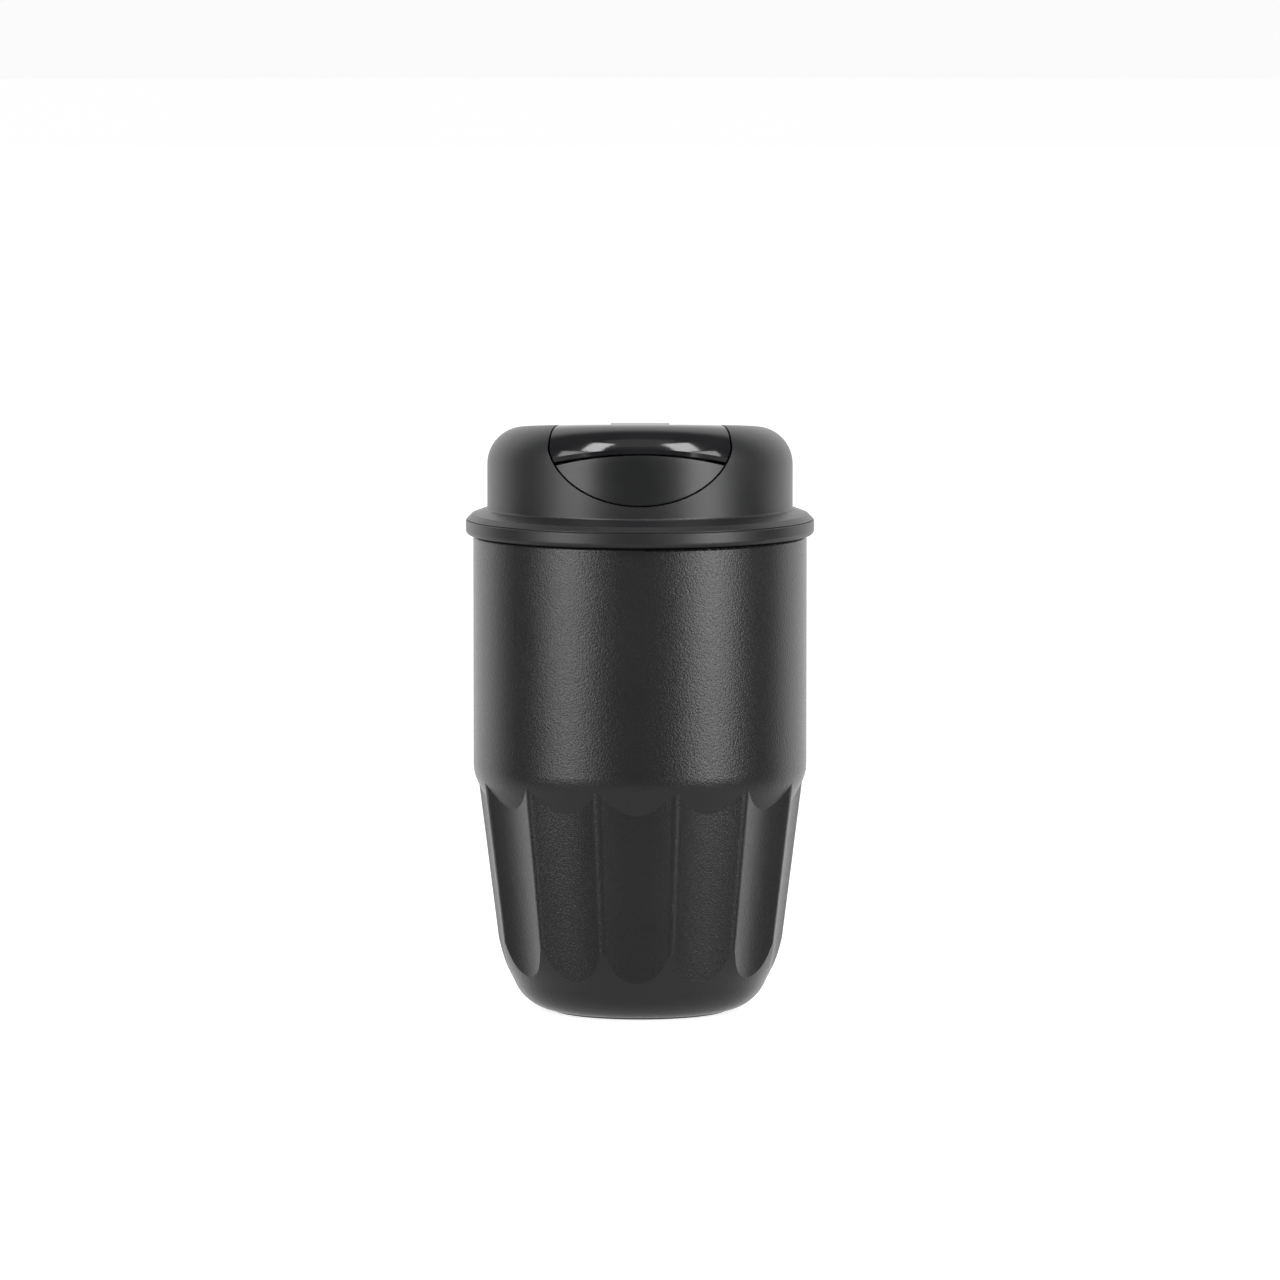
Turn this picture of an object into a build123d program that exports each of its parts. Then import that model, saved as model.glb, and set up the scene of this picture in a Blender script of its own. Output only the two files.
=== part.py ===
"""Insulated travel mug: a double-wall steel mug with a screw-on, one-touch flip-top lid.

Millimetres, +Z up, origin at the centre of the resting face. The drinking side faces -Y.
"""

from build123d import *
from math import cos, radians, sin, sqrt, tan
import os

# ---------------------------------------------------------------- driving dimensions
STEEL = 0.6                 # wall of the outer shell
LINER_WALL = 0.5            # wall of the inner cup
PLASTIC = 1.8               # wall of the lid's dome

# outer shell
BODY_R = 42.0               # upper, cylindrical half
RIM_Z = 120.2               # top of the mouth
RIM_ROUND = 0.7             # roll of the mouth's lip
SHOULDER_Z = 62.5           # where the shoulder starts to turn in
SHOULDER_ROUND = 10.0       # radius of that turn
SHOULDER_SLOPE = 28.0       # degrees from vertical, below the turn
RIDGE_R_TOP = 41.48         # crest of the ridges at FLUTE_TOP_Z
RIDGE_R_LOW = 33.86         # crest of the ridges, run down to z = 0
FLUTE_TOP_Z = 60.0
FLUTES = 13
FLUTE_PHASE = -1.3          # degrees, how far the front flute's centre is turned from -Y
FLUTE_DEPTH = 1.9           # below the crest, at the middle of a flute
RIDGE_ROUND = 2.0           # radius of the crest between two flutes
SHELL_BASE_Z = 0.4          # underside of the steel bottom
BASE_R = 22.7               # flat of the bottom
BASE_HOLE_R = 19.5          # opening in the shell's bottom, closed by the vacuum plate

# inner cup
LINER_R = 35.6              # bore of the cup
NECK_R = 38.1               # bore of the threaded neck
NECK_Z = 103.0              # ledge that the lid's gasket seals on
LINER_TAPER_Z = 60.0
LINER_LOW_R = 31.0
LINER_LOW_Z = 20.0
LINER_FLOOR_Z = 9.6
LINER_BOTTOM_ROUND = 9.0

# screw thread between the neck and the lid's plug
THREAD_STARTS = 3
THREAD_LEAD = 12.0          # rise in one turn
RIDGE_SPAN = 80.0           # degrees of each rolled ridge in the neck
LUG_SPAN = 50.0             # degrees of each lug on the plug
LUG_START = 15.0            # degrees past the ridge's lower end, lid closed
THREAD_Z = 111.5            # lower end of the ridges
RIDGE_HALF = 0.9            # half width at the root
LUG_HALF = 0.8
THREAD_HEIGHT = 1.0
LUG_DROP = 1.85             # the lugs lie this far under the ridges

# lid
PLUG_R = 36.85
PLUG_WALL = 1.6
PLUG_FLOOR_Z = 104.7
PLUG_FLOOR = 1.7
GASKET_R = 36.95
FLANGE_R = 43.85
FLANGE_Z = 120.4            # underside of the flange, over the mouth's lip
RING_WALL = 2.5             # wall of the flange's band
BAND_ROUND = 1.3            # lower edge of the band
PARTING_Z = 124.2           # top of the band; the dome's foot stands on it
PARTING_GAP = 0.12
DOME_R = 38.45
SKIRT_R = 41.2              # the dome's skirt, inside the band
SKIRT_LOW_Z = 122.1
FOOT_R = 43.5               # edge of the dome's foot, over the band
FOOT_BREAK = (42.3, 125.7)  # where the foot's steep edge meets its flat slope
FOOT_INNER = (39.05, 126.9)  # where that slope starts to turn up into the dome's wall
FOOT_TOP_Z = 127.6          # where the dome's wall is upright
TOP_Z = 147.6               # height of the slanted top on the axis
TOP_TILT = 5.4              # degrees; the drinking side stands higher
TOP_ROUND = 9.4

# tongue-shaped opening for the flip cover and the button
TONGUE_HALF_W = 23.3
TONGUE_MID_Z = 146.6        # centre of the lower, half-elliptic end
TONGUE_DROP = 16.3
TONGUE_MID_Y = -34.0        # centre of the rear, half-elliptic end
TONGUE_REACH = 28.0
TONGUE_GAP = 0.5
TONGUE_REAR_Y = -9.2        # straight rear edge, beside the knuckle
COVER_REAR_Y = -10.1        # rear edge of the cover itself, clear of the dome as it turns
ARCH_R = 90.0               # arched split between the cover and the button
ARCH_TOP_Z = 143.4
ARCH_HALF_GAP = 0.22
BUTTON_ARCH_R = 76.0        # the button's own top edge drops away towards its sides
PANEL_THICK = 1.2           # glossy skin of the cover
PANEL_BEVEL = (1.2, 0.45)   # bevel of the skin's arched lower edge: up its face, into its thickness
COVER_THICK = 3.0
POCKET_DEPTH = 3.4          # spout floor, below the dome's outer face
HOUSING_SKIN = 5.0          # underside of that floor
HOUSING_MARGIN = 1.4
HOUSING_LOW_Z = TONGUE_MID_Z - TONGUE_DROP - HOUSING_MARGIN
FOAM_PLAY = 0.4             # between the foam and the housing above it

# cover hinge
HINGE_Y = -6.0
HINGE_Z = 146.1
KNUCKLE_R = 2.7
KNUCKLE_HALF = 7.35
PIN_R = 1.2
PIN_HALF = 9.8
HINGE_PLAY = 0.07

# drinking hole, normal to the slanted top
HOLE_Y = -19.6
HOLE_R = 5.2
TUBE_WALL = 1.2
STOPPER_R = 5.05
STOPPER_END_R = 4.6         # tapered, so that it swings out of the hole
STOPPER_DEPTH = 3.0

# one-touch button
BUTTON_THICK = 1.6
TAB_HALF = 4.6              # half width of the cover's latch tab
TAB_FRONT_Y = -33.8
TAB_THICK = 1.4
CATCH = 1.5                 # how far the tab's hook reaches back
CATCH_Z = 139.1             # upper face of the hook
LIP_FRONT_Y = -32.2
LIP_BACK_Y = -29.4
LIP_Z = 139.4
CHAMBER_HALF = 15.5
CHAMBER_BACK_Y = -27.6
CHAMBER_LOW_Z = 133.6
CHAMBER_TOP_Z = 142.0
BUTTON_SPRING_X = 10.5
BUTTON_SPRING_Z = 137.6
SPRING_LENGTH = 5.6

os.makedirs("parts", exist_ok=True)
UP = (Align.CENTER, Align.CENTER, Align.MIN)
SLANT = tan(radians(TOP_TILT))


# ---------------------------------------------------------------- helpers
def disc(radius, z_low, z_high, x=0.0, y=0.0):
    """Upright round solid between two heights."""
    return Pos(x, y, z_low) * Cylinder(radius, z_high - z_low, align=UP)


def tube(outer, inner, z_low, z_high, x=0.0, y=0.0):
    """Upright round wall between two heights."""
    return disc(outer, z_low, z_high, x, y) - disc(inner, z_low - 1, z_high + 1, x, y)


def block(x0, x1, y0, y1, z0, z1):
    """Box from its corner coordinates."""
    centre = Pos((x0 + x1) / 2, (y0 + y1) / 2, (z0 + z1) / 2)
    return centre * Box(x1 - x0, y1 - y0, z1 - z0)


def turned(outline):
    """Solid of revolution from a closed half outline in the XZ plane."""
    return revolve(Plane.XZ * make_face(outline), Axis.Z)


def top_height(y):
    """Height of the slanted top at depth y."""
    return TOP_Z - y * SLANT


def write(shape, name):
    """One STEP file per sub-part."""
    shape.label = name
    export_step(shape, "parts/" + name + ".step")


# ---------------------------------------------------------------- the mug's steel shapes
def shoulder_point(inset):
    """End of the shoulder's turn: radius and height where its straight slope starts."""
    slope = radians(SHOULDER_SLOPE)
    reach = SHOULDER_ROUND - inset
    centre_r = BODY_R - SHOULDER_ROUND
    return centre_r + reach * cos(slope), SHOULDER_Z - reach * sin(slope)


def upper_body(inset, top_z):
    """Cylindrical upper half, with the shoulder that turns in underneath it."""
    wall_r = BODY_R - inset
    turn_r, turn_z = shoulder_point(inset)
    low_z = 48.0
    low_r = turn_r - (turn_z - low_z) * tan(radians(SHOULDER_SLOPE))
    middle = radians(SHOULDER_SLOPE / 2)
    reach = SHOULDER_ROUND - inset
    on_turn = (BODY_R - SHOULDER_ROUND + reach * cos(middle), SHOULDER_Z - reach * sin(middle))
    outline = Curve() + [
        Line((0, low_z), (low_r, low_z)),
        Line((low_r, low_z), (turn_r, turn_z)),
        ThreePointArc((turn_r, turn_z), on_turn, (wall_r, SHOULDER_Z)),
        Line((wall_r, SHOULDER_Z), (wall_r, top_z)),
        Line((wall_r, top_z), (0, top_z)),
        Line((0, top_z), (0, low_z)),
    ]
    return turned(outline)


def flute_section(scale, inset):
    """Cross-section with the flutes: hollow arcs joined by rounded crests, all tangent."""
    half_pitch = radians(180.0 / FLUTES)
    round_r = RIDGE_ROUND * scale - inset
    crest_centre = RIDGE_R_LOW * scale - inset - round_r
    middle = (RIDGE_R_LOW - FLUTE_DEPTH) * scale - inset
    # the hollow's circle touches the crest's circle from outside
    spread = crest_centre ** 2 + middle ** 2 - 2 * crest_centre * middle * cos(half_pitch) - round_r ** 2
    hollow_r = spread / (2 * (crest_centre * cos(half_pitch) + round_r - middle))
    hollow_centre = middle + hollow_r
    share = round_r / (round_r + hollow_r)
    touch_out = crest_centre * cos(half_pitch) + share * (hollow_centre - crest_centre * cos(half_pitch))
    touch_side = crest_centre * sin(half_pitch) * (1 - share)
    arcs = []
    for flute in range(FLUTES):
        turn = Rot(0, 0, FLUTE_PHASE + 360.0 * flute / FLUTES)
        next_turn = Rot(0, 0, FLUTE_PHASE + 360.0 * (flute + 1) / FLUTES)
        crest_turn = Rot(0, 0, FLUTE_PHASE + 360.0 * (flute + 0.5) / FLUTES)
        hollow_start = turn * Vertex(-touch_side, -touch_out)
        hollow_end = turn * Vertex(touch_side, -touch_out)
        next_start = next_turn * Vertex(-touch_side, -touch_out)
        deepest = turn * Vertex(0, -middle)
        crest = crest_turn * Vertex(0, -(crest_centre + round_r))
        arcs.append(ThreePointArc(Vector(hollow_start), Vector(deepest), Vector(hollow_end)))
        arcs.append(ThreePointArc(Vector(hollow_end), Vector(crest), Vector(next_start)))
    return make_face(arcs)


def bottom_envelope(inset, base_z):
    """Rounded bottom that the flutes run out into."""
    flat_r = BASE_R
    low_z = base_z
    bend_end = (31.8 - inset, 7.6 + 0.35 * inset)
    outline = Curve() + [
        Line((0, low_z), (flat_r, low_z)),
        ThreePointArc((flat_r, low_z), (27.9 - inset, 2.5 + 0.75 * inset), bend_end),
        Spline(bend_end, (34.3 - inset, 12.6), (36.1 - inset, 18.0), (42.0 - inset, 62.0),
               tangents=((0.42, 0.91), (0.124, 0.99))),
        Line((42.0 - inset, 62.0), (0, 62.0)),
        Line((0, 62.0), (0, low_z)),
    ]
    return turned(outline)


def body_solid(inset, base_z, top_z):
    """The mug's outer form, drawn in by a wall thickness."""
    scale_top = RIDGE_R_TOP / RIDGE_R_LOW
    low = Plane.XY * flute_section(1.0, inset)
    high = Plane.XY.offset(FLUTE_TOP_Z) * flute_section(scale_top, inset)
    fluted = loft([low, high], ruled=True)
    lower = fluted & bottom_envelope(inset, base_z)
    return lower + upper_body(inset, top_z)


def outer_shell():
    """Outer steel wall, from the rolled lip down to the opening in its bottom."""
    inner_base = SHELL_BASE_Z + STEEL
    straight_top = RIM_Z - RIM_ROUND
    wall = body_solid(0.0, SHELL_BASE_Z, straight_top) - body_solid(STEEL, inner_base, straight_top + 1)
    wall -= disc(BASE_HOLE_R, SHELL_BASE_Z - 1, inner_base + 1)
    return wall + rolled_lip()


def rolled_lip():
    """Lip that turns in over the vacuum gap and meets the neck of the inner cup."""
    low = RIM_Z - RIM_ROUND
    centre_r = BODY_R - RIM_ROUND
    inner_round = RIM_ROUND - STEEL
    weld_r = NECK_R + LINER_WALL
    diagonal = sqrt(0.5)
    outline = Curve() + [
        Line((BODY_R - STEEL, low), (BODY_R, low)),
        ThreePointArc((BODY_R, low), (centre_r + RIM_ROUND * diagonal, low + RIM_ROUND * diagonal),
                      (centre_r, RIM_Z)),
        Line((centre_r, RIM_Z), (weld_r, RIM_Z)),
        Line((weld_r, RIM_Z), (weld_r, RIM_Z - STEEL)),
        Line((weld_r, RIM_Z - STEEL), (centre_r, RIM_Z - STEEL)),
        ThreePointArc((centre_r, RIM_Z - STEEL),
                      (centre_r + inner_round * diagonal, low + inner_round * diagonal),
                      (BODY_R - STEEL, low)),
    ]
    return turned(outline)


def liner_solid(outset):
    """Hollow of the inner cup below its neck, grown by a wall thickness."""
    low_r = LINER_LOW_R + outset
    floor_z = LINER_FLOOR_Z - outset
    round_r = LINER_BOTTOM_ROUND + outset
    outline = Polyline(
        (0, floor_z), (low_r, floor_z), (low_r, LINER_LOW_Z), (LINER_R + outset, LINER_TAPER_Z),
        (LINER_R + outset, NECK_Z + 1), (0, NECK_Z + 1), close=True)
    solid = turned(outline)
    corner = solid.edges().filter_by(GeomType.CIRCLE).sort_by(Axis.Z)[0]
    solid = fillet(corner, round_r)
    bends = [edge for edge in solid.edges().filter_by(GeomType.CIRCLE)
             if abs(edge.center().Z - LINER_TAPER_Z) < 0.01]
    return fillet(bends, 25.0)


def inner_liner():
    """Inner cup: floor, tapered wall, sealing ledge and neck with the rolled thread."""
    cup = liner_solid(LINER_WALL) + disc(NECK_R + LINER_WALL, NECK_Z - LINER_WALL, RIM_Z)
    cup -= liner_solid(0.0)
    cup -= disc(NECK_R, NECK_Z, RIM_Z + 1)
    for start in range(THREAD_STARTS):
        cup += thread_ridge(NECK_R + 0.25, -(THREAD_HEIGHT + 0.25), RIDGE_HALF, THREAD_Z,
                            RIDGE_SPAN, 360.0 * start / THREAD_STARTS)
    return cup


def thread_ridge(root_r, height, half_width, start_z, span, start_angle):
    """Part of a helical ridge. Height is outward, so a negative one stands inward."""
    path = Helix(pitch=THREAD_LEAD, height=THREAD_LEAD * span / 360.0, radius=root_r)
    tip_half = half_width * 0.55
    profile = Polyline((0, -half_width), (height, -tip_half), (height, tip_half), (0, half_width), close=True)
    # the section stands in the plane through the axis
    section = Pos(root_r, 0, 0) * (Plane.XZ * make_face(profile))
    ridge = sweep(section, path=path, is_frenet=True)
    return Rot(0, 0, start_angle) * Pos(0, 0, start_z) * ridge


def reflector_foil():
    """Foil wrapped round the inner cup inside the vacuum."""
    foil_thick = 0.15
    wrap = liner_solid(LINER_WALL + foil_thick) - liner_solid(LINER_WALL)
    return wrap & block(-60, 60, -60, 60, LINER_LOW_Z + 4, NECK_Z - 6)


def vacuum_plate():
    """Steel plate that closes the vacuum space, with a raised dimple for the sealing bead."""
    low = SHELL_BASE_Z + STEEL
    plate = disc(BASE_HOLE_R + 2.6, low, low + STEEL)
    plate += disc(5.0, low, low + STEEL + 1.4)
    plate -= disc(4.4, low - 1, low + 1.4)
    return plate - disc(0.9, low, low + 3)


def seal_bead():
    """Bead that closes the evacuation hole in the dimple."""
    roof = SHELL_BASE_Z + STEEL + 1.4
    return disc(2.6, roof - 0.8, roof) + disc(0.9, roof, roof + STEEL)


def getter_clip():
    """Small steel cup, spot-welded to the vacuum plate, that holds the getter."""
    low = SHELL_BASE_Z + 2 * STEEL
    return disc(4.4, low, low + 1.5, 13.0) - disc(4.1, low + 0.3, low + 3, 13.0)


def getter_pill():
    """Pressed getter pill that keeps the vacuum."""
    low = SHELL_BASE_Z + 2 * STEEL + 0.3
    return disc(4.0, low, low + 1.6, 13.0)


def base_pad():
    """Silicone pad under the bottom, with a plug that fills the shell's opening."""
    pad = disc(BASE_R - 0.5, 0, SHELL_BASE_Z)
    rim = pad.edges().sort_by(Axis.Z)[0]
    pad = chamfer(rim, 0.15)
    pad += disc(BASE_HOLE_R - 0.1, SHELL_BASE_Z, SHELL_BASE_Z + STEEL)
    return pad - disc(6.0, SHELL_BASE_Z + 0.1, SHELL_BASE_Z + STEEL + 1)


# ---------------------------------------------------------------- lid forms
def dome_solid(inset):
    """The lid's dome: upright wall, slanted top, rounded edge; drawn in by an inset."""
    blank = disc(DOME_R - inset, PLUG_FLOOR_Z, TOP_Z + 12)
    slanted = Plane(origin=(0, 0, TOP_Z), z_dir=(0, sin(radians(TOP_TILT)), cos(radians(TOP_TILT))))
    blank = split(blank, bisect_by=slanted.offset(-inset), keep=Keep.BOTTOM)
    top_edge = blank.edges().filter_by(GeomType.ELLIPSE)
    return fillet(top_edge, TOP_ROUND - inset)


def tongue(grow):
    """Upright-walled form of the tongue-shaped opening, grown or shrunk by a margin."""
    half_w = TONGUE_HALF_W + grow
    front = Pos(0, TONGUE_MID_Z) * Ellipse(half_w, TONGUE_DROP + grow)
    front += Pos(0, TONGUE_MID_Z + 15) * Rectangle(2 * half_w, 30)
    front_form = Pos(0, 20, 0) * extrude(Plane.XZ * front, 80)
    # the plan is a hair wider, so that its straight sides don't lie in the front form's
    plan_half_w = half_w + 0.02
    # more play towards the rear, where the cover's corners swing past the dome's edge
    plan = Pos(0, TONGUE_MID_Y) * Ellipse(plan_half_w, TONGUE_REACH + 1.6 * grow)
    plan += Pos(0, TONGUE_MID_Y - 20) * Rectangle(2 * plan_half_w, 40)
    plan_form = Pos(0, 0, 120) * extrude(plan, 60)
    return (front_form & plan_form) - block(-40, 40, TONGUE_REAR_Y + grow, 40, 100, 190)


def below_arch(radius, top_z):
    """Round form whose top is an arch, seen from the front."""
    return Pos(0, 20, 0) * extrude(Plane.XZ * (Pos(0, top_z - radius) * Circle(radius)), 80)


def dome_foot():
    """Foot of the dome: it flares out over the flange's band and stands inside it."""
    low = PARTING_Z + PARTING_GAP
    wall_r = DOME_R - PLASTIC
    skirt_inner = SKIRT_R - 1.5
    outline = Curve() + [
        Line((FOOT_R, low), (FOOT_R, low + 0.15)),
        Line((FOOT_R, low + 0.15), FOOT_BREAK),
        Line(FOOT_BREAK, FOOT_INNER),
        TangentArc((DOME_R, FOOT_TOP_Z), FOOT_INNER, tangent=(0, -1)),
        Line((DOME_R, FOOT_TOP_Z), (wall_r, FOOT_TOP_Z)),
        Line((wall_r, FOOT_TOP_Z), (wall_r, low + 1.6)),
        Line((wall_r, low + 1.6), (skirt_inner, low + 0.2)),
        Line((skirt_inner, low + 0.2), (skirt_inner, SKIRT_LOW_Z)),
        Line((skirt_inner, SKIRT_LOW_Z), (SKIRT_R, SKIRT_LOW_Z)),
        Line((SKIRT_R, SKIRT_LOW_Z), (SKIRT_R, low)),
        Line((SKIRT_R, low), (FOOT_R, low)),
    ]
    return turned(outline)


def slot_for_knuckle(margin):
    """Room for the hinge knuckle at the rear of the opening."""
    half = KNUCKLE_HALF + margin
    reach = KNUCKLE_R + margin
    return block(-half, half, HINGE_Y - 4.0, HINGE_Y + reach, HINGE_Z - reach, HINGE_Z + 10)


def along_x(radius, half, y, z):
    """Round bar along X."""
    return Pos(0, y, z) * Rot(0, 90, 0) * Cylinder(radius, 2 * half)


def along_y(radius, y_low, y_high, x, z):
    """Round bar along Y between two depths."""
    return Pos(x, y_low, z) * Rot(-90, 0, 0) * Cylinder(radius, y_high - y_low, align=UP)


def hole_plane():
    """Plane of the slanted top, centred on the drinking hole."""
    return Plane(origin=(0, HOLE_Y, top_height(HOLE_Y)),
                 z_dir=(0, sin(radians(TOP_TILT)), cos(radians(TOP_TILT))))


def slanted_disc(radius, low, high):
    """Round solid on the drinking hole's axis; heights are measured down from the dome's top face."""
    return hole_plane().offset(low) * Cylinder(radius, high - low, align=UP)


# ---------------------------------------------------------------- lid parts
def lid_dome():
    """Matte outer dome with the opening for the cover and the button."""
    shell = dome_solid(0.0) - dome_solid(PLASTIC)
    shell &= block(-60, 60, -60, 60, FOOT_TOP_Z - 0.2, 170)
    shell += dome_foot()
    shell -= tongue(0.0)
    shell -= slot_for_knuckle(0.3)
    return shell - along_x(PIN_R, PIN_HALF, HINGE_Y, HINGE_Z)


def lid_base():
    """Threaded wall of the plug, with the flange whose band overhangs the mug's wall."""
    inner_r = PLUG_R - PLUG_WALL
    band_r = FLANGE_R - RING_WALL
    low = FLANGE_Z
    plate_z = low + 1.6
    edge = 0.15
    turn_r, turn_z = FLANGE_R - BAND_ROUND, low + BAND_ROUND
    on_turn = (turn_r + BAND_ROUND * sqrt(0.5), turn_z - BAND_ROUND * sqrt(0.5))
    outline = Curve() + [
        Line((inner_r, low), (turn_r, low)),
        ThreePointArc((turn_r, low), on_turn, (FLANGE_R, turn_z)),
        Line((FLANGE_R, turn_z), (FLANGE_R, PARTING_Z - edge)),
        Line((FLANGE_R, PARTING_Z - edge), (FLANGE_R - edge, PARTING_Z)),
        Line((FLANGE_R - edge, PARTING_Z), (band_r, PARTING_Z)),
        Line((band_r, PARTING_Z), (band_r, plate_z)),
        Line((band_r, plate_z), (inner_r, plate_z)),
        Line((inner_r, plate_z), (inner_r, low)),
    ]
    base = turned(outline)
    base += tube(PLUG_R, inner_r, PLUG_FLOOR_Z + 0.4, low + 0.5)
    lug_z = THREAD_Z - LUG_DROP + THREAD_LEAD * LUG_START / 360.0
    for start in range(THREAD_STARTS):
        base += thread_ridge(PLUG_R - 0.25, THREAD_HEIGHT + 0.25, LUG_HALF, lug_z, LUG_SPAN,
                             LUG_START + 360.0 * start / THREAD_STARTS)
    return base


def plug_floor():
    """Cap welded into the plug: it closes the foam in and carries the gasket's groove."""
    top = PLUG_FLOOR_Z + PLUG_FLOOR
    cap = disc(PLUG_R - PLUG_WALL, PLUG_FLOOR_Z + 0.4, top)
    cap += disc(34.3, NECK_Z - 0.8, top)
    cap += disc(35.1, NECK_Z - 1.0, NECK_Z - 0.1)
    cap -= disc(32.6, NECK_Z - 2, PLUG_FLOOR_Z)
    return cap - slanted_disc(HOLE_R, -60, -20)


def lid_gasket():
    """Silicone ring in the plug's groove, pressed on the neck's ledge."""
    ring = tube(GASKET_R, 34.4, NECK_Z + 0.05, PLUG_FLOOR_Z + 0.3)
    outer_edges = [edge for edge in ring.edges().filter_by(GeomType.CIRCLE) if edge.radius > 36]
    return chamfer(outer_edges, 0.3)


def spout_tube():
    """Drinking tube from the plug's floor up to the spout floor."""
    bar = slanted_disc(HOLE_R + TUBE_WALL, -60, -HOUSING_SKIN)
    bar &= block(-60, 60, -60, 60, PLUG_FLOOR_Z + PLUG_FLOOR, 160)
    return bar - slanted_disc(HOLE_R, -70, 10)


def spout_housing():
    """Insert under the opening: spout floor, hinge seat and button chamber."""
    inside = dome_solid(PLASTIC)
    frame = (tongue(HOUSING_MARGIN) & inside) - dome_solid(HOUSING_SKIN)
    wall = 1.2
    chamber = block(-CHAMBER_HALF - wall, CHAMBER_HALF + wall, -45,
                    CHAMBER_BACK_Y + wall, CHAMBER_LOW_Z - wall, CHAMBER_TOP_Z + wall)
    seat = block(-PIN_HALF - wall, PIN_HALF + wall, HINGE_Y - 4.5, HINGE_Y + 4.4, HINGE_Z - 4.6, HINGE_Z + 10)
    housing = frame + (chamber & inside & tongue(HOUSING_MARGIN)) + (seat & inside)
    housing -= tongue(0.0) - dome_solid(POCKET_DEPTH)
    housing -= block(-CHAMBER_HALF, CHAMBER_HALF, -45, CHAMBER_BACK_Y, CHAMBER_LOW_Z, CHAMBER_TOP_Z)
    housing -= block(-6.5, 6.5, -45, CHAMBER_BACK_Y, CHAMBER_LOW_Z, 160)
    behind_button = below_arch(ARCH_R, ARCH_TOP_Z + 0.4) & tongue(-0.2)
    housing -= behind_button & block(-60, 60, -60, CHAMBER_BACK_Y, 120, 160)
    housing -= slot_for_knuckle(0.3)
    housing -= along_x(PIN_R, PIN_HALF, HINGE_Y, HINGE_Z)
    tube_seat = slanted_disc(HOLE_R + TUBE_WALL, -60, -HOUSING_SKIN)
    return housing - tube_seat - slanted_disc(HOLE_R, -70, 10)


def foam_puck():
    """Insulating foam in the hollow of the plug."""
    low = PLUG_FLOOR_Z + PLUG_FLOOR
    puck = disc(PLUG_R - PLUG_WALL - 0.1, low, HOUSING_LOW_Z - FOAM_PLAY)
    return puck - slanted_disc(HOLE_R + TUBE_WALL + 0.1, -60, -10)


def hinge_pin():
    """Steel pin of the cover's hinge."""
    return along_x(PIN_R, PIN_HALF, HINGE_Y, HINGE_Z)


def coil(radius, wire_r, pitch, turns):
    """Round-wire coil along Z."""
    path = Helix(pitch=pitch, height=pitch * turns, radius=radius)
    section = Plane(origin=path @ 0, z_dir=path % 0) * Circle(wire_r)
    return sweep(section, path=path, is_frenet=True)


def hinge_spring():
    """Torsion spring round the pin, in the middle of the knuckle."""
    turns = 8
    pitch = 0.62
    wound = coil(1.62, 0.24, pitch, turns)
    return Pos(-pitch * turns / 2, HINGE_Y, HINGE_Z) * Rot(0, 90, 0) * wound


def button_springs():
    """Two compression springs between the button and the chamber's rear wall."""
    wire_r = 0.25
    turns = 5
    pitch = (SPRING_LENGTH - 2 * wire_r) / turns
    springs = []
    for side in (-1, 1):
        place = Pos(side * BUTTON_SPRING_X, CHAMBER_BACK_Y - wire_r, BUTTON_SPRING_Z) * Rot(90, 0, 0)
        springs.append(place * coil(1.9, wire_r, pitch, turns))
    return Compound(children=springs)


def cover_blank(outer_inset, inner_inset):
    """Layer of the flip cover between two depths below the dome's outer face."""
    layer = dome_solid(outer_inset) - dome_solid(inner_inset)
    layer &= tongue(-TONGUE_GAP)
    return layer - below_arch(ARCH_R, ARCH_TOP_Z + ARCH_HALF_GAP) - block(-40, 40, COVER_REAR_Y, 40, 100, 190)


def cover_panel():
    """Glossy outer skin of the flip cover."""
    skin = cover_blank(0.0, PANEL_THICK)
    lower_edges = [edge for edge in skin.edges() if edge.length > 40 and (edge @ 0.5).Z < ARCH_TOP_Z + 1]
    front_edge = min(lower_edges, key=lambda edge: (edge @ 0.5).Y)
    outer_face = max((face for face in skin.faces() if front_edge in face.edges()),
                     key=lambda face: face.area)
    skin = chamfer(front_edge, *PANEL_BEVEL, reference=outer_face)
    return skin - slot_for_knuckle(0.25)


def flip_cover():
    """Cover frame under the glossy skin: hinge knuckle, stopper boss and latch tab."""
    frame = cover_blank(PANEL_THICK, COVER_THICK)
    neck = block(-KNUCKLE_HALF, KNUCKLE_HALF, COVER_REAR_Y - 0.6, HINGE_Y, HINGE_Z - 0.9, HINGE_Z + 1.6)
    knuckle = along_x(KNUCKLE_R, KNUCKLE_HALF, HINGE_Y, HINGE_Z)
    frame += (neck & dome_solid(PANEL_THICK)) + knuckle
    hook_low = CATCH_Z - 1.9
    tab = block(-TAB_HALF, TAB_HALF, TAB_FRONT_Y, TAB_FRONT_Y + TAB_THICK, hook_low, ARCH_TOP_Z + 3.5)
    hook = block(-TAB_HALF, TAB_HALF, TAB_FRONT_Y, TAB_FRONT_Y + TAB_THICK + CATCH, hook_low, CATCH_Z)
    frame += (tab + hook) & dome_solid(PANEL_THICK + 0.3)
    frame -= slanted_disc(6.6, -COVER_THICK - 2, -COVER_THICK + 0.7)
    frame += slanted_disc(2.6, -POCKET_DEPTH - 1.6, -COVER_THICK + 1.0)
    frame -= along_x(PIN_R + HINGE_PLAY, PIN_HALF, HINGE_Y, HINGE_Z)
    return frame - along_x(2.15, 2.9, HINGE_Y, HINGE_Z)


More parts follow.
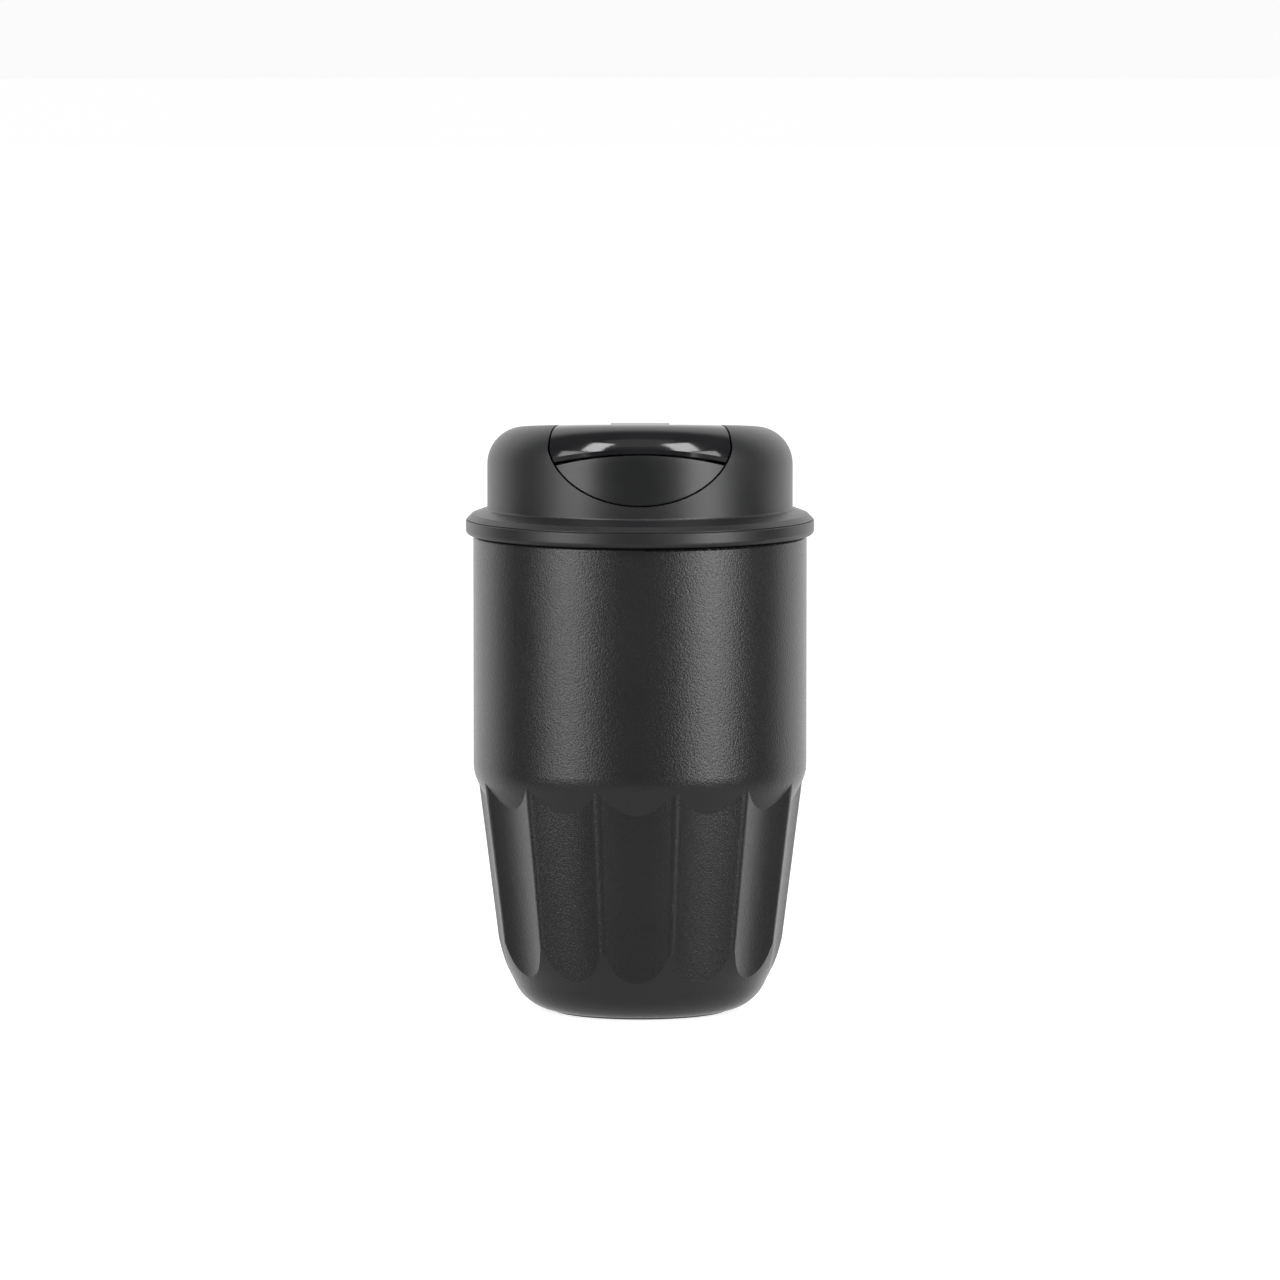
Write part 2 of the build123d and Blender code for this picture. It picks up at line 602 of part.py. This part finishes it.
def spout_stopper():
    """Silicone stopper that closes the drinking hole."""
    flange_low = -POCKET_DEPTH + 0.1
    stopper = slanted_disc(6.4, flange_low, -COVER_THICK + 0.7)
    length = STOPPER_DEPTH + 0.1
    plug = Cone(STOPPER_END_R, STOPPER_R, length, align=UP)
    lower_edge = plug.edges().filter_by(GeomType.CIRCLE).sort_by(Axis.Z)[0]
    stopper += hole_plane().offset(flange_low - length) * fillet(lower_edge, 0.5)
    return stopper - slanted_disc(2.6, -POCKET_DEPTH - 1.6, 2)


def release_button():
    """Matte front button with the lip that holds the cover's hook."""
    face = dome_solid(0.0) - dome_solid(BUTTON_THICK)
    face = face & tongue(-TONGUE_GAP) & below_arch(BUTTON_ARCH_R, ARCH_TOP_Z - ARCH_HALF_GAP)
    shelf_low = CATCH_Z - 4.0
    shelf = block(-5, 5, -40, LIP_BACK_Y, shelf_low, shelf_low + 1.3) & dome_solid(BUTTON_THICK - 0.4)
    wall = block(-5, 5, LIP_BACK_Y - 1.4, LIP_BACK_Y, shelf_low, LIP_Z + 1.3)
    lip = block(-5, 5, LIP_FRONT_Y, LIP_BACK_Y, LIP_Z, LIP_Z + 1.3)
    button = face + shelf + wall + lip
    seat_y = CHAMBER_BACK_Y - SPRING_LENGTH
    for side in (-1, 1):
        seat = along_y(2.6, -40, seat_y - 0.05, side * BUTTON_SPRING_X, BUTTON_SPRING_Z)
        peg = along_y(1.3, -40, seat_y + 2.2, side * BUTTON_SPRING_X, BUTTON_SPRING_Z)
        button += (seat + peg) & dome_solid(BUTTON_THICK - 0.4)
    return button


# ---------------------------------------------------------------- write every part
PARTS = {
    "outer_shell": outer_shell,
    "inner_liner": inner_liner,
    "reflector_foil": reflector_foil,
    "vacuum_plate": vacuum_plate,
    "seal_bead": seal_bead,
    "getter_clip": getter_clip,
    "getter_pill": getter_pill,
    "base_pad": base_pad,
    "lid_base": lid_base,
    "lid_dome": lid_dome,
    "plug_floor": plug_floor,
    "spout_tube": spout_tube,
    "lid_gasket": lid_gasket,
    "foam_puck": foam_puck,
    "spout_housing": spout_housing,
    "hinge_pin": hinge_pin,
    "hinge_spring": hinge_spring,
    "button_springs": button_springs,
    "flip_cover": flip_cover,
    "cover_panel": cover_panel,
    "spout_stopper": spout_stopper,
    "release_button": release_button,
}

for part_name, make in PARTS.items():
    write(make(), part_name)
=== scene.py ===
"""Looks of the insulated travel mug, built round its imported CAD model. Metres, +Z up, front at -Y."""

import math

import bpy
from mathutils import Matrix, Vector


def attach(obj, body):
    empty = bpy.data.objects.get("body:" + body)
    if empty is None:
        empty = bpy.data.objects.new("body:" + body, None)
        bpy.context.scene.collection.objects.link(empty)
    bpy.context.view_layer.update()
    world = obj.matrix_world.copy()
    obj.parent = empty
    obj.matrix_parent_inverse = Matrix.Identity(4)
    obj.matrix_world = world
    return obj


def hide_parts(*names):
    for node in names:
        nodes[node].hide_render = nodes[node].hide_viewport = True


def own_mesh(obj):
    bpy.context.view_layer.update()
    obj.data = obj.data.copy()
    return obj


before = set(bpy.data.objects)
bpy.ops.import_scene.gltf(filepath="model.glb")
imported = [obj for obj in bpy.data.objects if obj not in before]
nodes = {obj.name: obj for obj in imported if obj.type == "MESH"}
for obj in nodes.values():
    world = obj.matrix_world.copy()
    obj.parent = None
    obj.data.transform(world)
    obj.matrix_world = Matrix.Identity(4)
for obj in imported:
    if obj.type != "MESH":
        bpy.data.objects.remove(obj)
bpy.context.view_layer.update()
scene = bpy.context.scene

# ------------------------------------------------------------------ view
FRAME_WIDTH = 0.3226            # what the picture spans at the mug's axis
CAMERA_DISTANCE = 3.0
CAMERA_ELEVATION = math.radians(5.4)
AIM_HEIGHT = 0.0936
SENSOR = 36.0


def make_camera():
    """Long lens, a little above the mug, looking along +Y."""
    data = bpy.data.cameras.new("camera")
    data.sensor_width = SENSOR
    data.lens = SENSOR * CAMERA_DISTANCE / FRAME_WIDTH
    data.clip_end = 50.0
    camera = bpy.data.objects.new("camera", data)
    scene.collection.objects.link(camera)
    aim = Vector((0.0, 0.0, AIM_HEIGHT))
    back = Vector((0.0, -math.cos(CAMERA_ELEVATION), math.sin(CAMERA_ELEVATION)))
    camera.location = aim + back * CAMERA_DISTANCE
    camera.rotation_euler = (-back).to_track_quat("-Z", "Y").to_euler()
    scene.camera = camera


# ------------------------------------------------------------------ materials
class Nodes:
    """Short forms for building a node tree."""

    def __init__(self, name):
        self.material = bpy.data.materials.new(name)
        self.material.use_nodes = True
        self.tree = self.material.node_tree
        self.shader = self.tree.nodes["Principled BSDF"]
        self.place = self.add("ShaderNodeTexCoord").outputs["Object"]

    def add(self, kind, **values):
        node = self.tree.nodes.new(kind)
        for key, value in values.items():
            setattr(node, key, value)
        return node

    def link(self, source, target):
        self.tree.links.new(source, target)

    def noise(self, scale, detail=2.0, roughness=0.5, place=None):
        node = self.add("ShaderNodeTexNoise")
        node.inputs["Scale"].default_value = scale
        node.inputs["Detail"].default_value = detail
        node.inputs["Roughness"].default_value = roughness
        self.link(place or self.place, node.inputs["Vector"])
        return node.outputs["Fac"]

    def voronoi(self, scale):
        node = self.add("ShaderNodeTexVoronoi", feature="SMOOTH_F1")
        node.inputs["Scale"].default_value = scale
        node.inputs["Smoothness"].default_value = 0.6
        self.link(self.place, node.inputs["Vector"])
        return node.outputs["Distance"]

    def remap(self, value, low, high, to_low, to_high):
        node = self.add("ShaderNodeMapRange")
        for key, number in (("From Min", low), ("From Max", high), ("To Min", to_low), ("To Max", to_high)):
            node.inputs[key].default_value = number
        self.link(value, node.inputs["Value"])
        return node.outputs["Result"]

    def tint(self, value, dark, light):
        node = self.add("ShaderNodeValToRGB")
        ramp = node.color_ramp
        ramp.elements[0].position = 0.3
        ramp.elements[1].position = 0.7
        ramp.elements[0].color = (*dark, 1.0)
        ramp.elements[1].color = (*light, 1.0)
        self.link(value, node.inputs["Fac"])
        return node.outputs["Color"]

    def bump(self, height, distance, under=None):
        node = self.add("ShaderNodeBump")
        node.inputs["Distance"].default_value = distance
        self.link(height, node.inputs["Height"])
        if under:
            self.link(under, node.inputs["Normal"])
        return node.outputs["Normal"]


def powder_coat():
    """Matte charcoal powder coat: fine orange-peel grain, slightly uneven sheen."""
    n = Nodes("powder_coat")
    grain = n.noise(2100.0)
    fine = n.noise(3600.0, 1.0)
    cloud = n.noise(45.0, 3.0)
    n.link(n.tint(cloud, (0.0105, 0.0105, 0.0106), (0.0130, 0.0129, 0.0129)), n.shader.inputs["Base Color"])
    n.link(n.remap(grain, 0.3, 0.7, 0.28, 0.37), n.shader.inputs["Roughness"])
    coarse_bump = n.bump(grain, 0.00009)
    n.link(n.bump(fine, 0.000012, under=coarse_bump), n.shader.inputs["Normal"])
    return n.material


def matte_plastic(name, dark, light, roughness):
    """Moulded plastic with a fine spark-eroded texture."""
    n = Nodes(name)
    grain = n.noise(5200.0)
    cloud = n.noise(60.0, 3.0)
    n.link(n.tint(cloud, dark, light), n.shader.inputs["Base Color"])
    n.link(n.remap(cloud, 0.3, 0.7, roughness - 0.02, roughness + 0.03), n.shader.inputs["Roughness"])
    n.link(n.bump(grain, 0.000008), n.shader.inputs["Normal"])
    return n.material


def gloss_plastic():
    """Polished black plastic with the faint waviness of a moulding."""
    n = Nodes("gloss_black")
    wave = n.noise(90.0, 1.0)
    smear = n.noise(240.0, 4.0, 0.6)
    n.link(n.tint(wave, (0.008, 0.008, 0.009), (0.011, 0.011, 0.012)), n.shader.inputs["Base Color"])
    n.link(n.remap(smear, 0.35, 0.75, 0.09, 0.14), n.shader.inputs["Roughness"])
    n.link(n.bump(wave, 0.00003), n.shader.inputs["Normal"])
    return n.material


def silicone():
    """Dull silicone rubber with a dusty sheen."""
    n = Nodes("silicone_dark")
    grain = n.noise(2600.0, 3.0)
    n.link(n.tint(n.noise(80.0), (0.045, 0.045, 0.047), (0.06, 0.06, 0.063)), n.shader.inputs["Base Color"])
    n.link(n.remap(grain, 0.3, 0.7, 0.55, 0.68), n.shader.inputs["Roughness"])
    n.link(n.bump(grain, 0.00001), n.shader.inputs["Normal"])
    return n.material


def turned_steel():
    """Electropolished steel with fine marks that run round the cup."""
    n = Nodes("turned_steel")
    stretch = n.add("ShaderNodeMapping")
    # squeezed along Z, so that the marks are thin and run level
    stretch.inputs["Scale"].default_value = (1.0, 1.0, 60.0)
    n.link(n.place, stretch.inputs["Vector"])
    marks = n.noise(70.0, 4.0, 0.6, stretch.outputs["Vector"])
    n.link(n.tint(marks, (0.52, 0.51, 0.50), (0.63, 0.62, 0.61)), n.shader.inputs["Base Color"])
    n.shader.inputs["Metallic"].default_value = 1.0
    n.link(n.remap(marks, 0.3, 0.7, 0.24, 0.36), n.shader.inputs["Roughness"])
    n.link(n.bump(marks, 0.00001), n.shader.inputs["Normal"])
    return n.material


def foil():
    """Thin aluminium foil, crinkled where it was wrapped."""
    n = Nodes("crinkled_foil")
    creases = n.voronoi(160.0)
    ripple = n.noise(420.0, 3.0)
    n.link(n.tint(ripple, (0.80, 0.80, 0.81), (0.88, 0.88, 0.89)), n.shader.inputs["Base Color"])
    n.shader.inputs["Metallic"].default_value = 1.0
    n.link(n.remap(ripple, 0.3, 0.7, 0.18, 0.30), n.shader.inputs["Roughness"])
    n.link(n.bump(ripple, 0.00006, under=n.bump(creases, 0.0006)), n.shader.inputs["Normal"])
    return n.material


def pressed_powder(name, dark, light):
    """Dull grains pressed or melted into a solid."""
    n = Nodes(name)
    grain = n.noise(1900.0, 4.0, 0.7)
    n.link(n.tint(grain, dark, light), n.shader.inputs["Base Color"])
    n.link(n.remap(grain, 0.3, 0.7, 0.60, 0.85), n.shader.inputs["Roughness"])
    n.link(n.bump(grain, 0.00004), n.shader.inputs["Normal"])
    return n.material


def foam():
    """Pale closed-cell foam."""
    n = Nodes("foam_cells")
    cells = n.voronoi(900.0)
    n.link(n.tint(cells, (0.62, 0.60, 0.55), (0.78, 0.76, 0.71)), n.shader.inputs["Base Color"])
    n.shader.inputs["Roughness"].default_value = 0.9
    n.link(n.bump(cells, 0.0002), n.shader.inputs["Normal"])
    return n.material


def paint(material, *names):
    """Gives one material to CAD nodes."""
    for name in names:
        mesh = nodes[name].data
        mesh.materials.clear()
        mesh.materials.append(material)


def paint_everything():
    """Gives each CAD node the material that its real piece is made of."""
    matte_black = matte_plastic("lid_black", (0.0090, 0.0092, 0.0100), (0.0110, 0.0113, 0.0121), 0.40)
    satin_black = matte_plastic("button_black", (0.0075, 0.0077, 0.0083), (0.0095, 0.0098, 0.0104), 0.33)
    inner_black = matte_plastic("lid_inner_black", (0.03, 0.03, 0.031), (0.035, 0.035, 0.036), 0.5)
    paint(powder_coat(), "outer_shell")
    paint(matte_black, "lid_dome", "flip_cover", "lid_base")
    paint(satin_black, "release_button")
    paint(inner_black, "spout_housing", "spout_tube", "plug_floor")
    paint(gloss_plastic(), "cover_panel")
    paint(silicone(), "base_pad", "lid_gasket", "spout_stopper")
    paint(turned_steel(), "inner_liner", "vacuum_plate", "getter_clip", "hinge_pin", "hinge_spring",
          "button_springs")
    paint(foil(), "reflector_foil")
    paint(pressed_powder("braze_bead", (0.30, 0.27, 0.22), (0.42, 0.38, 0.31)), "seal_bead")
    paint(pressed_powder("getter_grey", (0.10, 0.10, 0.11), (0.17, 0.17, 0.18)), "getter_pill")
    paint(foam(), "foam_puck")


# ------------------------------------------------------------------ pieces
def compressing_springs():
    """The two springs behind the button, copied onto the lid with the CAD node hidden. The real springs
    shorten towards the chamber's rear wall as it is pressed, but this copy stays rigid.
    """
    springs = bpy.data.objects.new("button_spring_coils", nodes["button_springs"].data.copy())
    scene.collection.objects.link(springs)
    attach(springs, "lid")
    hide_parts("button_springs")
    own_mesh(springs)


# ------------------------------------------------------------------ studio
FRONT_GLOW = 0.035              # dark side of the studio, towards the camera
TABLE_GLOW = 0.62               # what the table throws back from below
CEILING_GLOW = 0.08
BACK_CEILING_GLOW = 0.90        # overhead, behind the mug
BACK_GLOW = 1.40                # white side, behind the mug

FLOOR_R = 3.4                   # flat part of the floor, past the camera
BEND_R = 0.8                    # bend from the floor into the wall
WALL_HEIGHT = 2.6
BEND_STEPS = 12
FLOOR_SIDES = 96

LIGHT_TARGET = Vector((0.0, 0.0, 0.1))
# name, azimuth and elevation in degrees, distance, width, height, power
SOFT_BOXES = (
    ("soft_box_left", -50.0, 11.0, 0.6, 0.32, 0.52, 2.5),
    ("soft_box_right", 49.0, 11.0, 0.6, 0.32, 0.52, 3.1),
    ("top_box_left", -42.5, 48.0, 0.8, 0.19, 0.33, 2.2),
    ("top_box_right", 41.5, 48.0, 0.8, 0.24, 0.33, 2.6),
    ("boom_box", 0.0, 64.0, 0.9, 0.60, 0.40, 0.35),
)


def floor_white():
    """Pale studio paper with a glow of its own, so that its shadows stay light."""
    n = Nodes("studio_paper")
    n.link(n.tint(n.noise(3.0), (0.56, 0.56, 0.56), (0.58, 0.58, 0.58)), n.shader.inputs["Base Color"])
    n.shader.inputs["Roughness"].default_value = 0.9
    n.shader.inputs["Specular IOR Level"].default_value = 0.0
    n.shader.inputs["Emission Color"].default_value = (1.0, 1.0, 1.0, 1.0)
    n.shader.inputs["Emission Strength"].default_value = 0.84
    return n.material


def floor_rings():
    """Radius and height of each ring of the floor, from the inner one out and up the wall."""
    inner_r = 1.0
    rings = [(inner_r, 0.0), (FLOOR_R, 0.0)]
    for step in range(1, BEND_STEPS + 1):
        turn = math.radians(90.0 * step / BEND_STEPS)
        rings.append((FLOOR_R + BEND_R * math.sin(turn), BEND_R - BEND_R * math.cos(turn)))
    rings.append((FLOOR_R + BEND_R, WALL_HEIGHT))
    return rings


def make_floor():
    """White floor that curves up into a round wall, far outside the camera's path."""
    rings = floor_rings()
    vertices = [(0.0, 0.0, 0.0)]
    for radius, z in rings:
        for side in range(FLOOR_SIDES):
            turn = 2.0 * math.pi * side / FLOOR_SIDES
            vertices.append((radius * math.cos(turn), radius * math.sin(turn), z))
    faces = [(0, 1 + side, 1 + (side + 1) % FLOOR_SIDES) for side in range(FLOOR_SIDES)]
    for ring in range(len(rings) - 1):
        low, high = 1 + ring * FLOOR_SIDES, 1 + (ring + 1) * FLOOR_SIDES
        for side in range(FLOOR_SIDES):
            after = (side + 1) % FLOOR_SIDES
            faces.append((low + side, high + side, high + after, low + after))
    mesh = bpy.data.meshes.new("studio_floor")
    mesh.from_pydata(vertices, [], faces)
    mesh.materials.append(floor_white())
    floor = bpy.data.objects.new("studio_floor", mesh)
    scene.collection.objects.link(floor)
    # the paper is only seen, so that the studio's own light and dark sides shape the mug's sheen
    floor.visible_diffuse = False
    floor.visible_glossy = False
    floor.visible_shadow = False


def soft_box(name, azimuth, elevation, distance, width, height, power):
    """Rectangular light that faces the mug; azimuth 0 is the camera's side, positive towards +X."""
    data = bpy.data.lights.new(name, "AREA")
    data.shape = "RECTANGLE"
    data.size = width
    data.size_y = height
    data.energy = power
    light = bpy.data.objects.new(name, data)
    scene.collection.objects.link(light)
    a, e = math.radians(azimuth), math.radians(elevation)
    out = Vector((math.sin(a) * math.cos(e), -math.cos(a) * math.cos(e), math.sin(e)))
    light.location = LIGHT_TARGET + out * distance
    light.rotation_euler = (-out).to_track_quat("-Z", "Y").to_euler()
    light.visible_camera = False


def make_world():
    """Studio round the mug, by direction: white behind it, a pale table below, darkness in front."""
    world = bpy.data.worlds.new("studio")
    world.use_nodes = True
    tree = world.node_tree
    background = tree.nodes["Background"]
    background.inputs["Color"].default_value = (1.0, 1.0, 1.0, 1.0)
    place = tree.nodes.new("ShaderNodeTexCoord")
    split = tree.nodes.new("ShaderNodeSeparateXYZ")
    tree.links.new(place.outputs["Generated"], split.inputs[0])

    def fade(value, low, high, to_low, to_high):
        node = tree.nodes.new("ShaderNodeMapRange")
        node.interpolation_type = "SMOOTHSTEP"
        for key, number in (("From Min", low), ("From Max", high), ("To Min", to_low), ("To Max", to_high)):
            node.inputs[key].default_value = number
        tree.links.new(value, node.inputs["Value"])
        return node.outputs["Result"]

    def combine(operation, first, second):
        node = tree.nodes.new("ShaderNodeMath")
        node.operation = operation
        tree.links.new(first, node.inputs[0])
        tree.links.new(second, node.inputs[1])
        return node.outputs[0]

    # parts of the direction looked in, from -1 to 1
    depth = split.outputs["Y"]
    height = split.outputs["Z"]
    # the white side ends overhead and below the table's edge
    behind = fade(depth, 0.22, 0.56, 0.0, BACK_GLOW)
    behind = combine("MULTIPLY", behind, fade(height, 0.86, 0.97, 1.0, 0.0))
    behind = combine("MULTIPLY", behind, fade(height, -0.75, -0.25, 0.0, 1.0))
    table = fade(height, -0.52, -0.20, TABLE_GLOW, FRONT_GLOW)
    overhead = fade(height, 0.45, 0.85, 0.0, 1.0)
    overhead_glow = fade(depth, 0.20, 0.60, CEILING_GLOW, BACK_CEILING_GLOW)
    ceiling = combine("MULTIPLY", overhead, overhead_glow)
    glow = combine("ADD", table, ceiling)
    tree.links.new(combine("MAXIMUM", behind, glow), background.inputs["Strength"])
    scene.world = world


def make_lights():
    """The world's glow and the soft boxes."""
    make_world()
    for box in SOFT_BOXES:
        soft_box(*box)
    scene.view_settings.view_transform = "Standard"


make_camera()
paint_everything()
compressing_springs()
make_floor()
make_lights()
